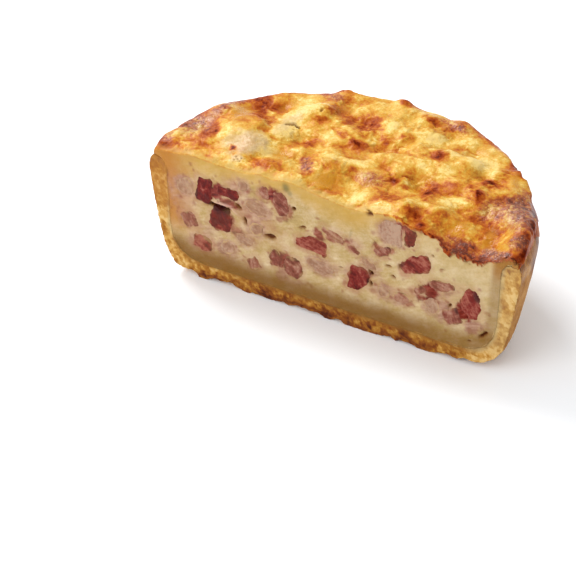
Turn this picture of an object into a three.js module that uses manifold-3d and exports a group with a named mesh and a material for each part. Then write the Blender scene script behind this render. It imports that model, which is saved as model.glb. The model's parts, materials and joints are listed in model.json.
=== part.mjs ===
// Half of a deep, round ham quiche, cut straight through the middle.
// Millimetres, +Z up. The origin lies on the flat underside, below the middle of the half.
// The cut face looks along -Y, and the curved outer wall lies behind it.
import * as THREE from "three";
import { mergeVertices } from "three/addons/utils/BufferGeometryUtils.js";
import Module from "manifold-3d";

const wasm = await Module();
wasm.setup();

// Driving dimensions.
const rimRadius = 62.4; // outside of the pastry wall, near its top
const rimHeight = 39.6; // top of the pastry wall
const footRadius = 44; // edge of the flat underside
const cornerHeight = 13; // where the rounded lower corner meets the wall
const cornerRadius = 58.6; // outer radius there
const wallThickness = 5.5;
const baseThickness = 6.2;
const fillingLevel = 41.4; // top of the filling between its lumps, in the middle
const toppingThickness = 1.9; // browned cheese on the pastry's rim
const toppingEdge = 0.8; // what is left of that at its outer edge
const toppingInset = 1.1; // how far that cheese stops short of the outer wall
const gap = 0.3; // clearance between neighbouring pieces
const cutY = -26; // plane of the cut, which passes through the quiche's axis

// Fineness of the faceted surfaces.
const pastryTurns = 140; // segments in a whole turn
const fillingTurns = 96;
const reliefCell = 2.05; // size of a cell in the relief of the top

const materials = {
  pastry: new THREE.MeshStandardMaterial({ color: 0xd09a50, roughness: 0.75, metalness: 0 }),
  filling: new THREE.MeshStandardMaterial({ color: 0xe6bd62, roughness: 0.45, metalness: 0 }),
  darkHam: new THREE.MeshStandardMaterial({ color: 0x8c3f47, roughness: 0.5, metalness: 0 }),
  pinkHam: new THREE.MeshStandardMaterial({ color: 0xb0706c, roughness: 0.5, metalness: 0 }),
  paleHam: new THREE.MeshStandardMaterial({ color: 0xcda392, roughness: 0.5, metalness: 0 }),
};

// A repeatable number from 0 to 1 for a pair of whole numbers.
function draw(i, j) {
  const wave = Math.sin(i * 127.1 + j * 311.7) * 43758.5453;
  return wave - Math.floor(wave);
}

function smoothStep(low, high, value) {
  const t = Math.min(1, Math.max(0, (value - low) / (high - low)));
  return t * t * (3 - 2 * t);
}

const bell = (offset, width) => Math.exp(-((offset / width) ** 2));

// A closed three.js geometry as a solid. Corners at one place become one,
// and faces that shrink to a line are dropped.
function solidOf(geometry) {
  geometry.deleteAttribute("normal");
  geometry.deleteAttribute("uv");
  const merged = mergeVertices(geometry, 1e-4);
  const corners = merged.index.array;
  const kept = [];
  for (let i = 0; i < corners.length; i += 3) {
    const [a, b, c] = corners.subarray(i, i + 3);
    if (a !== b && b !== c && c !== a) kept.push(a, b, c);
  }
  return new wasm.Manifold(
    new wasm.Mesh({
      numProp: 3,
      vertProperties: merged.attributes.position.array,
      triVerts: new Uint32Array(kept),
    }),
  );
}

function geometryOf(solid) {
  const mesh = solid.getMesh();
  const geometry = new THREE.BufferGeometry();
  geometry.setAttribute("position", new THREE.BufferAttribute(mesh.vertProperties, 3));
  geometry.setIndex(new THREE.BufferAttribute(mesh.triVerts, 1));
  geometry.computeVertexNormals();
  return geometry;
}

// Moves each corner of a geometry. The place is measured from the quiche's axis.
function reshape(geometry, move) {
  const place = geometry.attributes.position;
  const point = new THREE.Vector3();
  for (let i = 0; i < place.count; i++) {
    point.fromBufferAttribute(place, i);
    move(point);
    place.setXYZ(i, point.x, point.y, point.z);
  }
  return geometry;
}

// The rim isn't level. The angle starts at the right end of the cut.
function rimLift(angle) {
  const waves = 0.7 * Math.cos(2 * angle) + 0.4 * Math.sin(5 * angle + 0.5);
  return waves - bell(angle - 0.6, 0.25) + bell(angle - 2.2, 0.4);
}

// The wall isn't quite round: it bulges at the right end of the cut and pulls in at the left end.
function wallSwell(angle) {
  const waves = 0.35 * Math.sin(3 * angle + 0.4) + 0.3 * Math.sin(7 * angle) - 0.2;
  return waves + 1.1 * bell(angle, 0.22) - 0.7 * bell(angle - 0.6, 0.2) - 1.2 * bell(angle - Math.PI, 0.3);
}

// A profile turned round the quiche's axis, with the uneven rim and wall.
function turned(profile, turns, edgeBite = 0) {
  const geometry = new THREE.LatheGeometry(profile, turns).rotateX(Math.PI / 2);
  return reshape(geometry, (p) => {
    const radius = Math.hypot(p.x, p.y);
    const angle = Math.abs(Math.atan2(p.y, p.x));
    const upTheWall = smoothStep(4, 30, p.z);
    const nearTheWall = smoothStep(30, footRadius, radius);
    const atTheEdge = smoothStep(rimRadius - 4, rimRadius - 2, radius);
    const bite = edgeBite * atTheEdge * (0.5 + 0.5 * Math.sin(9 * angle));
    const grown = radius + (wallSwell(angle) - bite) * nearTheWall * smoothStep(0.5, 8, p.z);
    const scale = radius > 0.001 ? grown / radius : 1;
    p.set(p.x * scale, p.y * scale, p.z + rimLift(angle) * upTheWall * nearTheWall);
  });
}

// Everything behind the cut.
function behindTheCut() {
  const side = 4 * rimRadius;
  return solidOf(new THREE.BoxGeometry(side, side, side).translate(0, side / 2, 0));
}

// Pastry: one piece, base and wall together.
function pastryProfile() {
  const innerWall = rimRadius - wallThickness - 1.4;
  const outline = new THREE.Path();
  outline.moveTo(0, 0);
  outline.lineTo(footRadius, 0);
  outline.quadraticCurveTo(footRadius + 12.5, 0.6, cornerRadius, cornerHeight);
  outline.lineTo(rimRadius - 2, 22);
  outline.lineTo(rimRadius - 0.6, 31);
  outline.quadraticCurveTo(rimRadius + 0.6, rimHeight - 1, rimRadius - 2, rimHeight);
  outline.lineTo(rimRadius - 5, rimHeight - 0.8);
  outline.quadraticCurveTo(innerWall + 0.4, rimHeight - 1.6, innerWall, rimHeight - 5);
  outline.lineTo(innerWall - 0.6, 26);
  outline.lineTo(innerWall - 1, 17);
  outline.quadraticCurveTo(innerWall - 1.4, baseThickness + 0.4, innerWall - 12, baseThickness);
  outline.lineTo(0, baseThickness);
  return outline.getPoints(5);
}

const pastrySolid = solidOf(turned(pastryProfile(), pastryTurns)).intersect(behindTheCut());

// Filling: egg and cheese custard with its browned, lumpy top, which laps over the pastry's rim.
function fillingProfile() {
  const innerWall = rimRadius - wallThickness - 1.4 - gap;
  const edge = rimRadius - toppingInset;
  const base = baseThickness + gap;
  const outline = new THREE.Path();
  outline.moveTo(0, base);
  outline.lineTo(innerWall - 12, base);
  outline.quadraticCurveTo(innerWall - 1.4, base + 0.4, innerWall - 1, 17);
  outline.lineTo(innerWall - 0.6, 26);
  outline.lineTo(innerWall, rimHeight - 5);
  outline.quadraticCurveTo(innerWall + 0.2, rimHeight - 1.2, rimRadius - 5, rimHeight - 0.8 + gap);
  outline.lineTo(rimRadius - 2.1, rimHeight + gap);
  outline.lineTo(edge, rimHeight + gap - 0.3);
  outline.lineTo(edge, fillingLevel + 20);
  outline.lineTo(0, fillingLevel + 20);
  return outline.getPoints(4);
}

// Forms of the top that stand out, measured from the quiche's axis: place, spread and height.
const mounds = [
  { x: -40, y: 19, spread: 8.5, height: 4.2 }, // a piece of ham under the cheese
  { x: -33, y: 7, spread: 4.5, height: 1.2 },
  { x: -52, y: 9, spread: 5, height: 1.6 },
  { x: -46, y: 1, spread: 4, height: 1.4 },
  { x: -22, y: 3, spread: 6, height: 1.6 },
  { x: -11, y: 3, spread: 5, height: 2.8 },
  { x: -8, y: 14, spread: 6.5, height: 2.2 },
  { x: 7, y: 20, spread: 7, height: 1.6 },
  { x: -24, y: 38, spread: 9, height: 2 },
  { x: 21, y: 34, spread: 8, height: 2.6 },
  { x: -2, y: 48, spread: 8, height: 1.8 },
  { x: 22, y: 3, spread: 5.5, height: 3 },
  { x: 2, y: 1, spread: 5, height: 0.6 },
  { x: 34, y: 0, spread: 4, height: 1.7 },
  { x: 18, y: 8, spread: 4, height: 1.6 },
  { x: 30, y: 9, spread: 5, height: 2.4 },
  { x: 40, y: 24, spread: 6, height: 1.4 },
  { x: -48, y: 27, spread: 5, height: 0.8 },
  { x: -5, y: 59, spread: 2.6, height: 3 }, // cheese standing up on the rim
  { x: -23, y: 56, spread: 3, height: 1.8 },
  { x: 17, y: 57, spread: 3, height: 1.6 },
  { x: 43, y: 41, spread: 3.6, height: 1.8 },
  { x: 59, y: 8, spread: 4.5, height: 2.8 },
  { x: 57, y: 16, spread: 5, height: 1.8 },
  { x: -57, y: 6, spread: 4, height: 0.4 },
  { x: 40, y: 2, spread: 6, height: -4 }, // sunken places
  { x: 49, y: 2, spread: 4.5, height: -4.2 },
  { x: 56, y: -1, spread: 4.5, height: -1.8 },
  { x: 44, y: 14, spread: 6, height: -2.4 },
  { x: -33, y: -1, spread: 3, height: -0.6 },
  { x: 20, y: 21, spread: 3.4, height: -2.6 },
  { x: 14, y: 39, spread: 3.4, height: -2 },
  { x: 34, y: 33, spread: 3.4, height: -1.8 },
  { x: -22, y: 25, spread: 3.2, height: -2 },
  { x: -18, y: 13, spread: 3, height: -2 },
  { x: -10, y: 41, spread: 4.5, height: -1.8 },
  { x: 2, y: 33, spread: 4, height: -1.6 },
];

// Round lumps of melted cheese in a loose pattern, with creases between them.
const lumpPitch = 8.6;
function lumps(x, y) {
  const column = Math.floor(x / lumpPitch);
  const row = Math.floor(y / lumpPitch);
  let highest = 0;
  for (let i = column - 1; i <= column + 1; i++)
    for (let j = row - 1; j <= row + 1; j++) {
      const middleX = (i + 0.12 + 0.76 * draw(i, j)) * lumpPitch;
      const middleY = (j + 0.12 + 0.76 * draw(i + 57, j + 113)) * lumpPitch;
      const spread = lumpPitch * (0.6 + 0.4 * draw(i + 211, j + 17));
      const height = 0.8 + 2.4 * draw(i + 31, j + 71);
      const away = ((x - middleX) ** 2 + (y - middleY) ** 2) / spread ** 2;
      if (away < 1) highest = Math.max(highest, height * (1 - away));
    }
  return highest;
}

// Height of the top at a place measured from the quiche's axis.
function topHeight(x, y) {
  const radius = Math.hypot(x, y);
  const edge = rimRadius - toppingInset;
  const thickness =
    toppingThickness + (toppingEdge - toppingThickness) * smoothStep(edge - 2.6, edge + 0.4, radius);
  const rimTop = rimHeight + rimLift(Math.abs(Math.atan2(y, x))) + thickness;
  const middle = fillingLevel + 0.6 * smoothStep(10, -50, x);
  const ledge = smoothStep(rimRadius - 9, rimRadius - 3, radius);
  const moat = -1.3 * bell(radius - (rimRadius - 10.5), 4) * smoothStep(0, 6, y);
  const lumpy = (0.45 + 0.55 * (1 - ledge)) * (0.4 + 0.6 * smoothStep(0, 6, y));
  let height = middle * (1 - ledge) + rimTop * ledge + moat + lumps(x, y) * lumpy;
  for (const mound of mounds)
    height += mound.height * bell(Math.hypot(x - mound.x, y - mound.y), mound.spread);
  return Math.max(height - 0.4, rimTop * ledge);
}

// A block whose upper face carries the relief and whose front face is the cut.
function blockUnderRelief() {
  const wide = 2 * rimRadius + 6;
  const deep = rimRadius + 4;
  const columns = Math.round(wide / reliefCell);
  const rows = Math.round(deep / reliefCell);
  const block = new THREE.BoxGeometry(wide, deep, 2, columns, rows, 1).translate(0, deep / 2, 1);
  return reshape(block, (p) => {
    if (p.z > 1) p.z = topHeight(p.x, p.y);
  });
}

// Ham: diced pieces that the knife went through, seated in the cut face.
// Place of the middle on the cut face from the quiche's axis and up from the base, size, turn in
// degrees, and the share of its sides that is cut off at each corner, from the lower left one round.
const hamPieces = [
  { x: -41.5, z: 32.7, wide: 5.6, tall: 9.4, turn: -7, cuts: [0.08, 0.08, 0.08, 0.1], kind: "darkHam" },
  { x: -33.3, z: 34.3, wide: 7.6, tall: 4.2, turn: -1, cuts: [0.15, 0.2, 0.1, 0.1], kind: "darkHam" },
  { x: -35.7, z: 23.7, wide: 8, tall: 7.8, turn: -8, cuts: [0.15, 0.15, 0.3, 0.2], kind: "darkHam" },
  { x: -28.2, z: 38.4, wide: 4.2, tall: 3.8, turn: 12, cuts: [0.3, 0.3, 0.3, 0.3], kind: "paleHam" },
  { x: -48.3, z: 32, wide: 6.4, tall: 6.6, turn: 4, cuts: [0.3, 0.2, 0.25, 0.3], kind: "paleHam" },
  { x: -21, z: 38.5, wide: 3.8, tall: 4.6, turn: 5, cuts: [0.3, 0.1, 0.1, 0.35], kind: "pinkHam" },
  { x: -15.1, z: 36.2, wide: 5.6, tall: 8.8, turn: 8, cuts: [0.3, 0.3, 0.25, 0.1], kind: "pinkHam" },
  { x: -23, z: 31.9, wide: 8.4, tall: 5.6, turn: -12, cuts: [0.3, 0.3, 0.35, 0.3], kind: "paleHam" },
  { x: -23.6, z: 24.4, wide: 5, tall: 5, turn: 10, cuts: [0.3, 0.3, 0.3, 0.3], kind: "paleHam" },
  { x: -17, z: 16.4, wide: 4.4, tall: 6.4, turn: 4, cuts: [0.1, 0.1, 0.45, 0.35], kind: "pinkHam" },
  { x: -10.8, z: 14.8, wide: 6.8, tall: 7.4, turn: -6, cuts: [0.2, 0.2, 0.3, 0.15], kind: "pinkHam" },
  { x: -4.8, z: 25.5, wide: 11, tall: 6, turn: -4, cuts: [0.1, 0.1, 0.15, 0.4], kind: "darkHam" },
  { x: 2, z: 30.9, wide: 8.2, tall: 4, turn: -10, cuts: [0.45, 0.2, 0.3, 0.1], kind: "pinkHam" },
  { x: 8.9, z: 28.3, wide: 4.8, tall: 3, turn: -28, cuts: [0.3, 0.3, 0.3, 0.3], kind: "pinkHam" },
  { x: 14.4, z: 24.7, wide: 6.2, tall: 3.4, turn: -24, cuts: [0.3, 0.3, 0.3, 0.3], kind: "paleHam" },
  { x: -1.7, z: 18.3, wide: 9.8, tall: 5.8, turn: -10, cuts: [0.35, 0.35, 0.35, 0.35], kind: "paleHam" },
  { x: 10.9, z: 18.2, wide: 6.8, tall: 9.2, turn: -8, cuts: [0.06, 0.42, 0.15, 0.1], kind: "darkHam" },
  { x: 21, z: 38.1, wide: 8.2, tall: 8.4, turn: 0, cuts: [0.35, 0.08, 0.06, 0.3], kind: "paleHam" },
  { x: 27.7, z: 38.2, wide: 4.2, tall: 6.4, turn: -3, cuts: [0.1, 0.2, 0.1, 0.1], kind: "darkHam" },
  { x: 18.8, z: 30.6, wide: 6.4, tall: 3.6, turn: 26, cuts: [0.2, 0.35, 0.15, 0.15], kind: "pinkHam" },
  { x: 29.5, z: 29.6, wide: 10.6, tall: 6.2, turn: 24, cuts: [0.1, 0.2, 0.15, 0.4], kind: "darkHam" },
  { x: 38.2, z: 24.9, wide: 9.0, tall: 4.2, turn: 8, cuts: [0.3, 0.35, 0.2, 0.2], kind: "pinkHam" },
  { x: 31.3, z: 21.3, wide: 5.6, tall: 3.2, turn: 34, cuts: [0.2, 0.3, 0.3, 0.3], kind: "pinkHam" },
  { x: 25.4, z: 16.3, wide: 6.2, tall: 4.4, turn: -6, cuts: [0.25, 0.3, 0.25, 0.3], kind: "pinkHam" },
  { x: 19.4, z: 16.6, wide: 4.8, tall: 4.6, turn: -6, cuts: [0.3, 0.3, 0.3, 0.3], kind: "paleHam" },
  { x: 35.3, z: 17.2, wide: 5.4, tall: 6.4, turn: 6, cuts: [0.3, 0.25, 0.3, 0.3], kind: "paleHam" },
  { x: 41.9, z: 15.6, wide: 6, tall: 5.4, turn: 24, cuts: [0.1, 0.15, 0.12, 0.2], kind: "pinkHam" },
  { x: 47.6, z: 21.7, wide: 7, tall: 10.4, turn: 14, cuts: [0.3, 0.35, 0.06, 0.4], kind: "darkHam" },
  { x: -46.8, z: 20.6, wide: 6, tall: 6, turn: 18, cuts: [0.2, 0.1, 0.2, 0.15], kind: "pinkHam" },
  { x: -42.2, z: 13.2, wide: 7, tall: 5.6, turn: -14, cuts: [0.1, 0.3, 0.15, 0.2], kind: "darkHam" },
  { x: -33.6, z: 14.4, wide: 6.2, tall: 5, turn: 22, cuts: [0.3, 0.3, 0.3, 0.3], kind: "paleHam" },
  { x: -27.6, z: 19.2, wide: 6.4, tall: 4.4, turn: -12, cuts: [0.3, 0.3, 0.3, 0.3], kind: "paleHam" },
  { x: -24.6, z: 11.8, wide: 5, tall: 4.4, turn: 30, cuts: [0.2, 0.1, 0.25, 0.2], kind: "pinkHam" },
];
const hamDepth = 6.5; // how far a piece reaches behind the cut
const hamProud = 0.35; // how far it stands out of the cut

// A diced piece, or the pocket it sits in when grow is more than nothing.
function hamGeometry(piece, index, grow) {
  const shape = new THREE.Shape();
  const corners = [
    [-1, -1],
    [1, -1],
    [1, 1],
    [-1, 1],
  ].map(([sideX, sideZ]) => [sideX * (piece.wide / 2 + grow), sideZ * (piece.tall / 2 + grow)]);
  corners.forEach((corner, k) => {
    for (const neighbour of [corners[(k + 3) % 4], corners[(k + 1) % 4]]) {
      const x = corner[0] + piece.cuts[k] * (neighbour[0] - corner[0]);
      const z = corner[1] + piece.cuts[k] * (neighbour[1] - corner[1]);
      if (k === 0 && neighbour === corners[3]) shape.moveTo(x, z);
      else shape.lineTo(x, z);
    }
  });
  const front = grow > 0 ? 4 : hamProud + 0.3 * draw(index, 40);
  const back = hamDepth * (0.75 + 0.4 * draw(index, 41)) + grow;
  const soft = 0.5;
  const geometry = new THREE.ExtrudeGeometry(shape, {
    depth: front + back - 2 * soft,
    steps: 1,
    bevelEnabled: true,
    bevelSegments: 1,
    bevelThickness: soft,
    bevelSize: soft,
    bevelOffset: -soft,
  });
  return geometry
    .translate(0, 0, soft - back)
    .rotateZ(THREE.MathUtils.degToRad(piece.turn))
    .rotateX(Math.PI / 2)
    .translate(piece.x, 0, piece.z);
}

const fillingForm = turned(fillingProfile(), fillingTurns, 0.9);
let fillingSolid = solidOf(fillingForm).intersect(solidOf(blockUnderRelief()));
hamPieces.forEach((piece, index) => {
  fillingSolid = fillingSolid.subtract(solidOf(hamGeometry(piece, index, gap)));
});

// The half quiche, set back so that the origin lies below its middle.
const quiche = new THREE.Group();
quiche.position.y = cutY;

function addPiece(name, geometry, material) {
  const mesh = new THREE.Mesh(geometry, material);
  mesh.name = name;
  quiche.add(mesh);
}

addPiece("pastry_crust", geometryOf(pastrySolid), materials.pastry);
addPiece("egg_filling", geometryOf(fillingSolid), materials.filling);
hamPieces.forEach((piece, index) => {
  const name = "ham_" + String(index + 1).padStart(2, "0");
  addPiece(name, geometryOf(solidOf(hamGeometry(piece, index, 0))), materials[piece.kind]);
});

const part = new THREE.Group();
part.add(quiche);

export default part;
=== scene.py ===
import json
import math

import bmesh
import bpy
import numpy as np
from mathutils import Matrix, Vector
from mathutils.bvhtree import BVHTree
from mathutils.geometry import convex_hull_2d


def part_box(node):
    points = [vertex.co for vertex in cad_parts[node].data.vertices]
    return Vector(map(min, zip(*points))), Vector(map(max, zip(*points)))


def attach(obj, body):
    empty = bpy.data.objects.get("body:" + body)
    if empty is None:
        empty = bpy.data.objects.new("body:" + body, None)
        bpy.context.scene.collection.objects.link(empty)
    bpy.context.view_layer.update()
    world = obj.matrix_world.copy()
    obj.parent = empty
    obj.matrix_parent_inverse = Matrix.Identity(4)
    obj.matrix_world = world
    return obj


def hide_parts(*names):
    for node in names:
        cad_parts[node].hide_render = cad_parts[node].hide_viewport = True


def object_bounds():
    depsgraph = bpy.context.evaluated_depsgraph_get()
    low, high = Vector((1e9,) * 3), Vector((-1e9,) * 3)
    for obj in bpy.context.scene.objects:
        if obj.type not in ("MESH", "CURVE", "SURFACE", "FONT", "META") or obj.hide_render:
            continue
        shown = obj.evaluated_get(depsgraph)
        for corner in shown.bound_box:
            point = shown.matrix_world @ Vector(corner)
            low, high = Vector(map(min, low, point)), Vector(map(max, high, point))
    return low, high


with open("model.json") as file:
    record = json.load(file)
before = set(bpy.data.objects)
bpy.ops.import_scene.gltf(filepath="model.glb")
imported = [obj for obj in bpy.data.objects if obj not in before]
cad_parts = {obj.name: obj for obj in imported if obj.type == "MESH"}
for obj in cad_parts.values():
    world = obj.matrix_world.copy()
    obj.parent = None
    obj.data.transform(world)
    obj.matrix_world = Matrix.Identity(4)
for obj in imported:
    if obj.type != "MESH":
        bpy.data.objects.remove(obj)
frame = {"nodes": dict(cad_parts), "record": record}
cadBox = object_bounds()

# Half a ham quiche. Lengths are in mm here, and become metres where a mesh is written.
mm = 0.001
cadNodes = frame["nodes"]
hamNames = sorted(name for name in cadNodes if name.startswith("ham"))
slotOf = {row["node"]: row["material_slot"] for row in frame["record"]["subparts"]}
pastryLow, pastryHigh = (np.array(corner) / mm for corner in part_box("pastry_crust"))
cutY = pastryLow[1]  # the plane of the cut, in mm
rimRadius = (pastryHigh[0] - pastryLow[0]) / 2
# the finished meshes stay just inside the CAD box
frontLimit = cadBox[0][1] / mm + 0.05
backLimit = cadBox[1][1] / mm - 0.02
topLimit = cadBox[1][2] / mm - 0.05


# colour code such as e8c060 as a linear colour
def paint(code):
    parts = [int(code[i:i + 2], 16) / 255 for i in (0, 2, 4)]
    return [p / 12.92 if p <= 0.04045 else ((p + 0.055) / 1.055) ** 2.4 for p in parts] + [1.0]


def smoothStep(low, high, value):
    t = np.clip((value - low) / (high - low), 0, 1)
    return t * t * (3 - 2 * t)


def latticeValue(i, j, k, seed):
    mixed = (i * 374761393 + j * 668265263 + k * 1103515245 + seed * 974634777) & 0xFFFFFFFF
    mixed = ((mixed ^ (mixed >> 13)) * 1274126177) & 0xFFFFFFFF
    return ((mixed ^ (mixed >> 16)) & 0xFFFF) / 32767.5 - 1


# smooth noise from -1 to 1, place in mm, size of a cell in mm as one number or three
def softNoise(place, size, seed):
    scaled = place / np.asarray(size, float)
    cell = np.floor(scaled).astype(np.int64)
    part = scaled - cell
    part = part * part * (3 - 2 * part)
    total = np.zeros(len(place))
    for corner in range(8):
        step = np.array([corner & 1, corner >> 1 & 1, corner >> 2])
        weight = np.prod(np.where(step, part, 1 - part), axis=1)
        total += weight * latticeValue(*(cell + step).T, seed)
    return total


def roughNoise(place, size, seed, octaves=3, fall=0.5):
    size = np.asarray(size, float)
    layers = [(fall**n, softNoise(place, size / 2**n, seed + 31 * n)) for n in range(octaves)]
    return sum(share * layer for share, layer in layers) / sum(share for share, _ in layers)


# scattered grains: how far each place is from the nearest grain's middle, 0 to 1, and that grain's own tone
def grains(place, size, seed):
    scaled = place / np.asarray(size, float)
    cell = np.floor(scaled).astype(np.int64)
    nearest = np.full(len(place), 9.0)
    tone = np.zeros(len(place))
    for number in range(27):
        home = cell + [number % 3 - 1, number // 3 % 3 - 1, number // 9 - 1]
        nudge = np.stack([latticeValue(*home.T, seed + axis) for axis in range(3)], axis=1)
        away = np.linalg.norm(home + 0.5 + 0.42 * nudge - scaled, axis=1)
        tone = np.where(away < nearest, latticeValue(*home.T, seed + 3), tone)
        nearest = np.minimum(nearest, away)
    return np.clip(nearest, 0, 1), tone


# strength of the strongest spot at each place; a spot is x, y, half sizes, turn in degrees, strength
def spread(spots, across, up, fray=0.0, outer=2.1, inner=0.3):
    strongest = np.zeros(len(across))
    for spotX, spotY, halfX, halfY, turn, strength in spots:
        c, s = math.cos(math.radians(turn)), math.sin(math.radians(turn))
        x, y = across - spotX, up - spotY
        away = np.hypot((x * c + y * s) / halfX, (y * c - x * s) / halfY)
        strongest = np.maximum(strongest, strength * smoothStep(outer, inner, away + fray))
    return strongest


# moves each point towards the middle of its neighbours, by an amount or one amount for each point
def evened(place, edges, rounds, amount):
    count = np.bincount(edges.ravel(), minlength=len(place))[:, None]
    amount = np.broadcast_to(amount, len(place))[:, None]
    for _ in range(rounds):
        total = np.stack([
            np.bincount(edges[:, 0], place[edges[:, 1], axis], len(place))
            + np.bincount(edges[:, 1], place[edges[:, 0], axis], len(place))
            for axis in range(3)
        ], axis=1)
        place = place + (total / count - place) * amount
    return place


def readMesh(mesh):
    place = np.empty(len(mesh.vertices) * 3)
    mesh.vertices.foreach_get("co", place)
    edges = np.empty(len(mesh.edges) * 2, np.int64)
    mesh.edges.foreach_get("vertices", edges)
    return place.reshape(-1, 3) / mm, edges.reshape(-1, 2)


def writeMesh(mesh, place):
    place = place.copy()
    place[:, 1] = np.clip(place[:, 1], frontLimit, backLimit)
    place[:, 2] = np.maximum(place[:, 2], 0.01)
    over = np.maximum(place[:, 2] - topLimit + 1, 0)
    place[:, 2] += np.tanh(over) - over  # the highest lumps flatten out just below the top
    mesh.vertices.foreach_set("co", (place * mm).ravel())
    mesh.update()


def normalsOf(mesh):
    mesh.update()
    normals = np.empty(len(mesh.vertices) * 3)
    mesh.vertex_normals.foreach_get("vector", normals)
    return normals.reshape(-1, 3)


def storeValues(mesh, **values):
    for name, value in values.items():
        layer = mesh.attributes.new(name, "FLOAT", "POINT")
        layer.data.foreach_set("value", np.ascontiguousarray(value, np.float32))


def storeVector(mesh, name, value):
    layer = mesh.attributes.new(name, "FLOAT_VECTOR", "POINT")
    layer.data.foreach_set("vector", np.ascontiguousarray(value, np.float32).ravel())


# the piece's mesh with its modifiers worked in
def applyModifiers(piece):
    depsgraph = bpy.context.evaluated_depsgraph_get()
    piece.data = bpy.data.meshes.new_from_object(piece.evaluated_get(depsgraph))
    piece.data.name = piece.name
    piece.modifiers.clear()
    piece.data.shade_smooth()


# a new piece with an even skin over merged copies of CAD nodes, each grown by so many mm or by a rule
def evenSkin(name, grownNodes, voxel):
    body = bmesh.new()
    for nodeName, grow in grownNodes:
        copy = bmesh.new()
        copy.from_mesh(cadNodes[nodeName].data)
        bmesh.ops.remove_doubles(copy, verts=copy.verts, dist=0.001 * mm)
        bmesh.ops.recalc_face_normals(copy, faces=copy.faces)
        copy.normal_update()
        for vert in copy.verts:
            vert.co += vert.normal * (grow(vert) if callable(grow) else grow) * mm
        mesh = bpy.data.meshes.new("copy")
        copy.to_mesh(mesh)
        copy.free()
        body.from_mesh(mesh)
        bpy.data.meshes.remove(mesh)
    mesh = bpy.data.meshes.new(name)
    body.to_mesh(mesh)
    body.free()
    piece = bpy.data.objects.new(name, mesh)
    bpy.context.scene.collection.objects.link(piece)
    skin = piece.modifiers.new("even skin", "REMESH")
    skin.mode = "VOXEL"
    skin.voxel_size = voxel * mm
    applyModifiers(piece)
    return piece


# sets the cut face's points, which the even skin leaves up to 1.5 mm off, on the plane of the cut
def flattenCut(piece):
    place, _ = readMesh(piece.data)
    normals = normalsOf(piece.data)
    place[(normals[:, 1] < -0.4) & (place[:, 1] < cutY + 1.5), 1] = cutY
    writeMesh(piece.data, place)
    return place, normals, np.hypot(place[:, 0], place[:, 1] - cutY)


# keeps one face in ten where hidden is true
def thinHidden(piece, hidden):
    group = piece.vertex_groups.new(name="hidden")
    group.add(np.flatnonzero(hidden).tolist(), 1.0, "REPLACE")
    fewer = piece.modifiers.new("fewer hidden faces", "DECIMATE")
    fewer.vertex_group = group.name
    fewer.ratio = 1 - 0.9 * np.mean(hidden)
    applyModifiers(piece)
    piece.vertex_groups.clear()


def finishPiece(piece, material, nodeName):
    piece.data.materials.clear()
    piece.data.materials.append(material)
    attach(piece, "root")
    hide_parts(nodeName)
    print("made", piece.name, len(piece.data.polygons), "faces")


# material helpers: a shader whose own sockets take the constants, nodes, and sums of values

def newMaterial(name, **constants):
    material = bpy.data.materials.new(name)
    material.use_nodes = True
    tree = material.node_tree
    shader = tree.nodes["Principled BSDF"]
    for socket, value in constants.items():
        shader.inputs[socket.replace("_", " ")].default_value = value
    return material, tree, shader


def addNode(tree, kind, inputs=(), **settings):
    node = tree.nodes.new("ShaderNode" + kind)
    for key, value in settings.items():
        setattr(node, key, value)
    for key, value in dict(inputs).items():
        if isinstance(value, bpy.types.NodeSocket):
            tree.links.new(value, node.inputs[key])
        else:
            node.inputs[key].default_value = value
    return node


def math2(tree, operation, a, b=0.0, clamp=False):
    return addNode(tree, "Math", {0: a, 1: b}, operation=operation, use_clamp=clamp).outputs[0]


# a sum of parts, each a value and its share, and a last number
def addUp(tree, parts, offset=0.0, clamp=False):
    total = None
    for value, share in parts:
        scaled = math2(tree, "MULTIPLY", value, share)
        total = scaled if total is None else math2(tree, "ADD", total, scaled)
    return math2(tree, "ADD", total, offset, clamp)


def mixColours(tree, share, a, b, blend="MIX"):
    return addNode(tree, "Mix", {0: share, 6: a, 7: b}, data_type="RGBA", blend_type=blend).outputs[2]


def noiseOf(tree, where, scale, detail=3.0, rough=0.55):
    inputs = {"Vector": where, "Scale": scale, "Detail": detail, "Roughness": rough}
    return addNode(tree, "TexNoise", inputs).outputs[0]


def rampOf(tree, value, stops):
    node = addNode(tree, "ValToRGB", {0: value})
    ramp = node.color_ramp
    while len(ramp.elements) < len(stops):
        ramp.elements.new(0.5)
    for element, (position, colour) in zip(ramp.elements, stops):
        element.position = position
        element.color = paint(colour)
    return node.outputs[0]


def valueOf(tree, name, output="Fac"):
    return addNode(tree, "Attribute", attribute_name=name).outputs[output]


# lays a colour over another where the piece's own value of that name is high
def tinted(tree, colour, name, share, tint):
    strength = math2(tree, "MULTIPLY", valueOf(tree, name), share)
    return mixColours(tree, strength, colour, paint(tint) if isinstance(tint, str) else tint)


# noise stretched by a scale of its own along each axis
def grainOf(tree, where, scale, detail=3.0, rough=0.55):
    stretched = addNode(tree, "Mapping", {"Vector": where, "Scale": scale}).outputs[0]
    return noiseOf(tree, stretched, 1.0, detail, rough)


def bumpOf(tree, height, strength, distance, normal=None):
    inputs = {"Height": height, "Strength": strength, "Distance": distance}
    if normal:
        inputs["Normal"] = normal
    return addNode(tree, "Bump", inputs).outputs[0]


# corners of a piece of ham's outline on the cut, in order, as x and z in mm
def hamOutline(nodeName):
    place, _ = readMesh(cadNodes[nodeName].data)
    flat = np.unique(np.round(place[:, [0, 2]], 3), axis=0)
    outline = flat[convex_hull_2d([Vector(p) for p in flat])]
    x, z = outline.T
    turnsLeft = np.sum(x * np.roll(z, -1) - z * np.roll(x, -1)) > 0
    return outline if turnsLeft else outline[::-1]


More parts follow.
